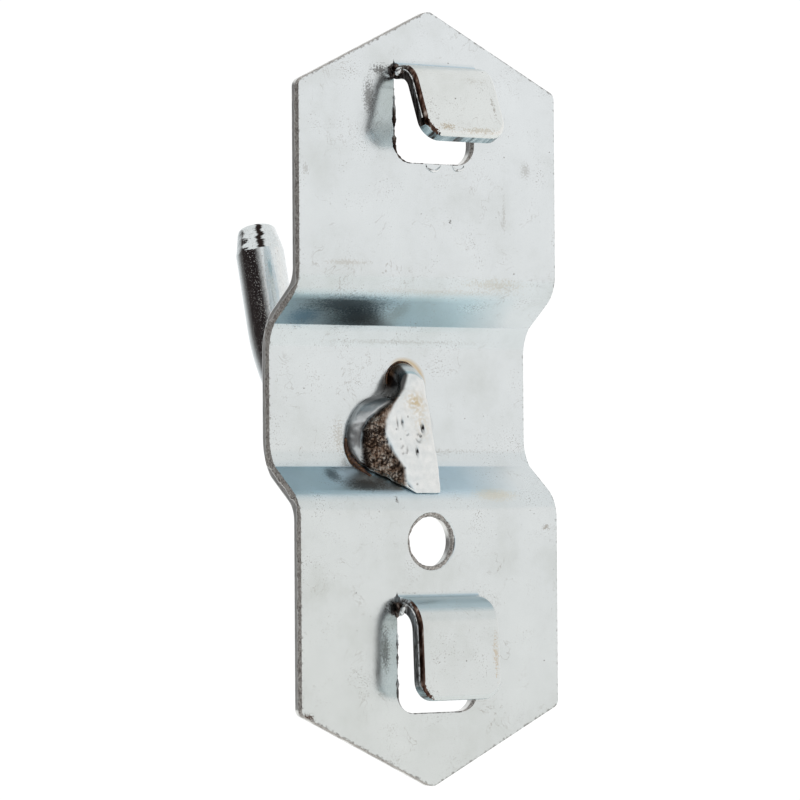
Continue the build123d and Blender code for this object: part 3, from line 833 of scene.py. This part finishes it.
move += 0.009 * np.sin(2 * math.pi * along / RIPPLE_PITCH) * ripple_share
pore_mask = np.zeros(len(skin_points))
ring_gaps = fade(lumps(skin_points, 0.25, 8), -0.35, 0.25)
for pore_x, pore_z, half_width, half_height, drop, rim_only in PORES:
    reach = np.hypot((x - pore_x) / half_width, (z - pore_z) / half_height)
    pit = np.exp(-(reach ** 2) * 1.2)
    ring = np.exp(-((reach - 1.0) / 0.35) ** 2)
    move -= drop * pit * showing
    pore_mask = np.maximum(pore_mask, 0.6 * ring * ring_gaps if rim_only else pit)
weld_points = skin_points + skin_normals * (move * showing)[:, None]
weld_low, weld_high = (np.array(corner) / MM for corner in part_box("weld_bead"))
weld_points = np.clip(weld_points, weld_low, weld_high)
print("weld moved by mm:", round(float(move.min()), 3), round(float(move.max()), 3))

# %% Weld material, and the weld
# The flank is scale that the plating hardly covered. The flow drew it down, so its grain is long.
WELD_GRIT = 0.13
WELD_BLOTCH = 0.5

plated_weld, bead, bead_shader, bead_place = new_finish("bright_zinc_on_rough_weld")
flow = node(
    bead,
    "Mapping",
    {"Vector": bead_place, "Rotation": (0.0, math.radians(-25.0), 0.0), "Scale": (1.0, 1.0, 0.22)},
)
bead_flank, bead_band, bead_painted_shade, bead_pores, bead_stain, bead_scorch = [
    node(bead, "Attribute", output="Fac", attribute_name=name)
    for name in ("flank", "band", "painted_shade", "pores", "stain", "scorch")
]
bead_grit = node(
    bead, "TexNoise", {"Vector": flow, "Scale": 1 / (WELD_GRIT * MM), "Detail": 5.0, "Roughness": 0.7}
)
bead_blotch = node(
    bead, "TexNoise", {"Vector": bead_place, "Scale": 1 / (WELD_BLOTCH * MM), "Detail": 5.0}
)
bead_colour = node(bead, "ValToRGB", [bead_blotch], stops=[(0.3, "#D8DEE0"), (0.7, "#E8ECED")])
scale_level = node(bead, "Mix", {0: 0.45, 2: bead_grit, 3: bead_blotch})
scale_stops = [(0.38, "#2E211A"), (0.48, "#6E5A4C"), (0.57, "#A2978D"), (0.70, "#DEDCD7")]
scale_colour = node(bead, "ValToRGB", [scale_level], stops=scale_stops)
for mask, colour in (
    (bead_flank, scale_colour),
    # Painted light: the outer band gets a lighter colour; the roughness added to it below is its own.
    (bead_band, linear("#F0F5F8")),
    # painted shade, near black
    (bead_painted_shade, linear("#231F1E")),
    (bead_stain, linear("#C2AD80")),
    (bead_pores, linear("#3E3935")),
    (bead_scorch, linear("#4A3018")),
):
    bead_colour = node(bead, "Mix", {0: mask, 6: bead_colour, 7: colour}, data_type="RGBA")
flank_rough = node(bead, "MapRange", [bead_flank, 0.0, 1.0, 0.16, 0.27])
bead_rough = node(bead, "Math", [bead_band, 0.20, flank_rough], "MULTIPLY_ADD")
bead_gain = node(bead, "MapRange", [bead_flank, 0.0, 1.0, 0.12, 1.0])
bead_relief = node(bead, "Math", [bead_grit, bead_gain], "MULTIPLY")
bead_bump = node(bead, "Bump", {"Height": bead_relief, "Strength": 0.4, "Distance": 0.05 * MM})
bead_look = {"Metallic": 1.0, "Base Color": bead_colour, "Roughness": bead_rough, "Normal": bead_bump}
fill(bead_shader, bead_look)

weld = add_piece("weld_bead_skin", weld_points, skin_faces, plated_weld)
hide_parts("weld_bead")
low_flank = np.exp(-(((past_crest - 0.25) / 0.4) ** 2) - ((z + 4.7) / 0.9) ** 2)
# Painted shade: the weld's top-left flank, the upper part of its outer band, a line along its crease, a
# line at its foot on the plate and its lower flank are darkened.
painted_shades = (
    0.92 * fade(past_crest, 0.0, 0.25) * fade(z, -1.0, 0.0),
    0.42 * outer_band * fade(z, -2.0, -0.8),
    0.85 * np.exp(-(past_crease / 0.16) ** 2) * below_top,
    0.6 * fade(y, -3.2, -3.7) * fade(x, 0.6, 1.4),
    0.6 * flank * low_flank,
)
stain_grit = fade(lumps(skin_points, 0.2, 6), -0.4, 0.3)
crest_stain = 0.35 * np.exp(-(((x + 0.35) / 0.6) ** 2 + ((z + 1.7) / 1.0) ** 2)) * stain_grit
crest_stain += 0.75 * np.exp(-(((x + 0.05) / 0.7) ** 2 + ((z + 0.2) / 0.6) ** 2)) * stain_grit
scorch = 0.8 * fade(y, -3.0, -3.5) * fade(z, 0.4, 1.2)
bright_edge = (1 - fade(along, -0.25, -0.12)) * fade(x, 1.8, 2.4)
add_values(weld, "flank", flank * (1 - bright_edge))
add_values(weld, "band", outer_band)
add_values(weld, "painted_shade", np.maximum.reduce(painted_shades))
add_values(weld, "pores", 0.85 * pore_mask * showing)
add_values(weld, "stain", crest_stain)
add_values(weld, "scorch", scorch)
print("weld faces:", len(weld.data.polygons))

# %% [markdown]
# ## Flux and burrs
# Small things tell that a real object was cut and welded. Baked flux lies in a brown crescent at the
# weld's foot and in a thin line round its top. The shears left a bright thread of metal along each tab
# and dark ragged burrs along the windows, and the sheet tore a little at the corners where the tabs bend
# out. The runs are tubes of uneven thickness, half sunk in the metal that carries them, and the torn
# corners are lumps.

# %% Flux runs
TUBE_AROUND = 12
X_WAY, Y_WAY = Vector((1.0, 0.0, 0.0)), Vector((0.0, 1.0, 0.0))
FLUX_GRAIN = 0.16
FLUX_ROUGHNESS = 0.42
FOOT_RUN = [
    (4.52, -3.9, -2.70), (4.56, -3.86, -3.30), (4.50, -3.74, -3.80), (4.36, -3.52, -4.25),
    (4.08, -3.20, -4.72), (3.78, -2.72, -5.10), (3.52, -2.30, -5.38),
]
FOOT_RADIUS = 0.21
FOOT_STEP = 0.06
TOP_MIDDLE = (-0.2, -3.88, 1.357)
TOP_REACH = 1.3
TOP_RADIUS = 0.07

flux, flux_tree, flux_shader, flux_place = new_finish("baked_flux_on_weld_foot")
flux_grit = node(
    flux_tree, "TexNoise", {"Vector": flux_place, "Scale": 1 / (FLUX_GRAIN * MM), "Detail": 4.0}
)
flux_colour = node(
    flux_tree, "ValToRGB", [flux_grit], stops=[(0.35, "#21120A"), (0.52, "#4A2B17"), (0.70, "#8A663C")]
)
flux_bump = node(flux_tree, "Bump", {"Height": flux_grit, "Strength": 0.6, "Distance": 0.05 * MM})
fill(flux_shader, {"Base Color": flux_colour, "Roughness": FLUX_ROUGHNESS, "Normal": flux_bump})


def add_tube(name, path, radii, reference, material):
    """Adds a piece of rings along a path in mm, each with its own radius."""
    points = []
    for i, (middle, radius) in enumerate(zip(path, radii)):
        tangent = (path[min(i + 1, len(path) - 1)] - path[max(i - 1, 0)]).normalized()
        side = tangent.cross(reference).normalized()
        over = tangent.cross(side)
        for k in range(TUBE_AROUND):
            turn = 2 * math.pi * k / TUBE_AROUND
            points.append(middle + (side * math.cos(turn) + over * math.sin(turn)) * radius)
    add_piece(name, points, ring_faces(len(path), TUBE_AROUND), material)


def resampled(corners, step):
    """Points at an even step along straight runs between corners."""
    corners = [Vector(corner) for corner in corners]
    points = []
    for start, end in zip(corners, corners[1:]):
        count = max(round((end - start).length / step), 1)
        points += [start.lerp(end, i / count) for i in range(count)]
    return points + [corners[-1]]


foot_path = resampled(FOOT_RUN, FOOT_STEP)
foot_radii = [
    FOOT_RADIUS * math.sin(math.pi * (0.06 + 0.88 * i / len(foot_path))) ** 0.5
    + 0.05 * noise.noise(middle * 3.0)
    for i, middle in enumerate(foot_path)
]
top_path = [
    Vector(TOP_MIDDLE) + Vector((math.cos(turn), 0.0, math.sin(turn))) * TOP_REACH
    for turn in np.linspace(math.radians(-15), math.radians(165), 90)
]
top_radii = [TOP_RADIUS + 0.035 * noise.noise(middle * 4.0) for middle in top_path]
add_tube("weld_foot_flux", foot_path, foot_radii, X_WAY, flux)
add_tube("weld_top_flux", top_path, top_radii, Y_WAY, flux)
print("flux runs:", len(foot_path), "and", len(top_path), "rings")

# %% Burrs along the tabs
SHEET = 1.0
TAB_GAP = 1.85
TAB_ROLL = 0.35
TAB_CORNER = 1.4
# Crown height, leg, splay in degrees and inside radius of the crown
TAB_BENDS = {"upper": (UPPER_CROWN, 4.15, 23.0, 1.0), "lower": (LOWER_CROWN, 4.88, 3.0, 1.3)}
BURR_RADIUS = 0.045
BURR_GRAIN = 0.3
BURR_ROUGHNESS = 0.35

raised_burr, burr_tree, burr_shader, burr_place = new_finish("bright_zinc_on_raised_burr")
burr_grit = node(
    burr_tree, "TexNoise", {"Vector": burr_place, "Scale": 1 / (BURR_GRAIN * MM), "Detail": 3.0}
)
burr_colour = node(
    burr_tree, "ValToRGB", [burr_grit], stops=[(0.38, "#8C8A88"), (0.48, "#E4E8EA"), (0.7, "#FAFBFB")]
)
fill(burr_shader, {"Metallic": 1.0, "Base Color": burr_colour, "Roughness": BURR_ROUGHNESS})

for name, (crown_z, leg, splay, crown_radius) in TAB_BENDS.items():
    splay = math.radians(splay)
    turn_middle = Vector((TAB_LEFT, TAB_GAP - crown_radius, crown_z - SHEET - crown_radius))
    line_radius = crown_radius + SHEET - TAB_ROLL
    burr_path = [
        turn_middle + Vector((0.0, math.cos(turn), math.sin(turn))) * line_radius
        for turn in np.linspace(math.radians(85), splay, 40)
    ]
    leg_way = Vector((0.0, math.sin(splay), -math.cos(splay)))
    leg_start = burr_path[-1]
    burr_path += [leg_start + leg_way * run for run in np.linspace(0.0, leg - TAB_CORNER, 50)[1:]]
    burr_radii = [max(BURR_RADIUS + 0.035 * noise.noise(middle * 2.5), 0.012) for middle in burr_path]
    add_tube(f"{name}_tab_burr", burr_path, burr_radii, X_WAY, raised_burr)
print("tab burrs:", list(TAB_BENDS))

# %% Burrs along the windows, and torn corners
WINDOW_SILLS = {"upper": 16.34, "lower": -21.872}
WINDOW_CORNER = 1.4
# Thickness of the burr beside each window and its finish. Along the sills it is thin.
RAGGED_SIDES = {"upper": (0.085, tab_materials[0]), "lower": (0.04, tab_materials[1])}
RAGGED_SILL = 0.02
RAGGED_SHIFT = Vector((0.3, 0.45, 0.1))
RAGGED_FALL, RAGGED_RISE = 0.7, 2.3
RAGGED_STEP = 0.04
RAGGED_TOP = 1.6
KNOB_STEP = 0.03
ROOT_TEARS = {
    "upper": ((2.92, 0.16, 22.72), (0.36, 0.40, 0.46)),
    "lower": ((2.90, 0.12, -14.62), (0.30, 0.48, 0.50)),
}
# Bright knobs of smeared metal on the torn corners, from end to end, and their radius in mm
ROOT_KNOBS = {
    "upper": ((3.0, 0.40, 22.36), (3.0, 1.0, 22.82), 0.26),
    "lower": ((3.0, 0.45, -15.05), (3.0, 1.15, -14.25), 0.22),
}
# Curled threads of metal that hang from the upper sill: middle x, half width and drop in mm
SLIVERS = {"left": (-0.35, 0.62, 0.50), "right": (-2.45, 0.50, 0.36)}
SLIVER_RADIUS = 0.05
SLIVER_LIFT = 0.07

for name, sill in WINDOW_SILLS.items():
    corner = Vector((TAB_LEFT - WINDOW_CORNER, 0.0, sill + WINDOW_CORNER))
    top = TAB_BENDS[name][0] - RAGGED_TOP
    side_ends = [(TAB_LEFT, 0.0, top), (TAB_LEFT, 0.0, sill + WINDOW_CORNER)]
    sill_ends = [(TAB_LEFT - WINDOW_CORNER, 0.0, sill), (TAB_RIGHT + WINDOW_CORNER, 0.0, sill)]
    ragged_path = resampled(side_ends, RAGGED_STEP)
    ragged_path += [
        corner + Vector((math.cos(turn), 0.0, -math.sin(turn))) * WINDOW_CORNER
        for turn in np.linspace(0.0, math.pi / 2, 44)[1:]
    ]
    ragged_path += resampled(sill_ends, RAGGED_STEP)[1:]
    side_radius, ragged_finish = RAGGED_SIDES[name]
    ragged_radii = []
    for middle in ragged_path:
        up_side = min((middle.z - sill) / WINDOW_CORNER, 1.0)
        uneven = noise.fractal(middle * 1.3 + RAGGED_SHIFT, RAGGED_FALL, RAGGED_RISE, 4)
        radius = RAGGED_SILL + (side_radius - RAGGED_SILL) * up_side + (0.06 + 0.05 * up_side) * uneven
        ragged_radii.append(max(radius, 0.008))
    add_tube(f"{name}_window_burr", ragged_path, ragged_radii, Y_WAY, ragged_finish)
    middle, half = ROOT_TEARS[name]
    lump = bmesh.new()
    bmesh.ops.create_icosphere(lump, subdivisions=4, radius=1.0)
    tear_points = []
    for vertex in lump.verts:
        swell = 1.0 + 0.35 * noise.noise(vertex.co * 1.8 + Vector(middle))
        swell += 0.14 * noise.noise(vertex.co * 6.0)
        tear_points.append([m + h * c * swell for m, h, c in zip(middle, half, vertex.co)])
    tear_faces = [tuple(vertex.index for vertex in face.verts) for face in lump.faces]
    lump.free()
    add_piece(f"{name}_root_tear", tear_points, tear_faces, tab_materials[0])
    knob_start, knob_end, knob_radius = ROOT_KNOBS[name]
    knob_path = resampled([knob_start, knob_end], KNOB_STEP)
    knob_radii = [
        knob_radius * math.sin(math.pi * (0.04 + 0.92 * i / (len(knob_path) - 1))) ** 0.6
        + 0.03 * noise.noise(middle * 5.0 + RAGGED_SHIFT)
        for i, middle in enumerate(knob_path)
    ]
    add_tube(f"{name}_root_knob", knob_path, knob_radii, X_WAY, raised_burr)
for name, (middle_x, half_width, drop) in SLIVERS.items():
    thread = []
    for turn in np.linspace(0.0, math.pi, 48):
        wander = 0.16 * noise.noise(Vector((turn * 1.4, middle_x, 0.0)))
        hang = math.sin(turn)
        thread.append(Vector((
            middle_x + half_width * math.cos(turn) + wander * hang,
            SLIVER_LIFT * hang,
            WINDOW_SILLS["upper"] - drop * hang,
        )))
    thread_radii = []
    for i, middle in enumerate(thread):
        belly = math.sin(math.pi * i / (len(thread) - 1)) ** 2
        thread_radii.append(SLIVER_RADIUS * (0.5 + 1.5 * belly) + 0.03 * noise.noise(middle * 3.0))
    add_tube(f"{name}_sill_sliver", thread, thread_radii, Y_WAY, raised_burr)
print("window burrs and torn corners:", list(WINDOW_SILLS), "slivers:", list(SLIVERS))

# %% Torn ring in the screw hole
# A punch tears the last of the steel and leaves a ragged ring inside the rim, thickest below and above.
TORN_RING_DEPTH = 0.2
TORN_RING_RADIUS = 0.12
ring_path = []
ring_radii = []
for turn in np.linspace(0.0, 2 * math.pi, 241):
    middle = Vector(HOLE_MIDDLE) + Vector((math.cos(turn), 0.0, math.sin(turn))) * HOLE_RADIUS
    ring_path.append(middle - Vector((0.0, TORN_RING_DEPTH, 0.0)))
    uneven = noise.fractal(middle * 1.6 + RAGGED_SHIFT, RAGGED_FALL, RAGGED_RISE, 3)
    thicker = 0.07 * abs(math.sin(turn)) + 0.06 * uneven
    ring_radii.append(max(TORN_RING_RADIUS + thicker, 0.03))
add_tube("hole_burr", ring_path, ring_radii, Y_WAY, sheared_edge)
print("torn ring in mm, thinnest and thickest:", round(min(ring_radii), 3), round(max(ring_radii), 3))
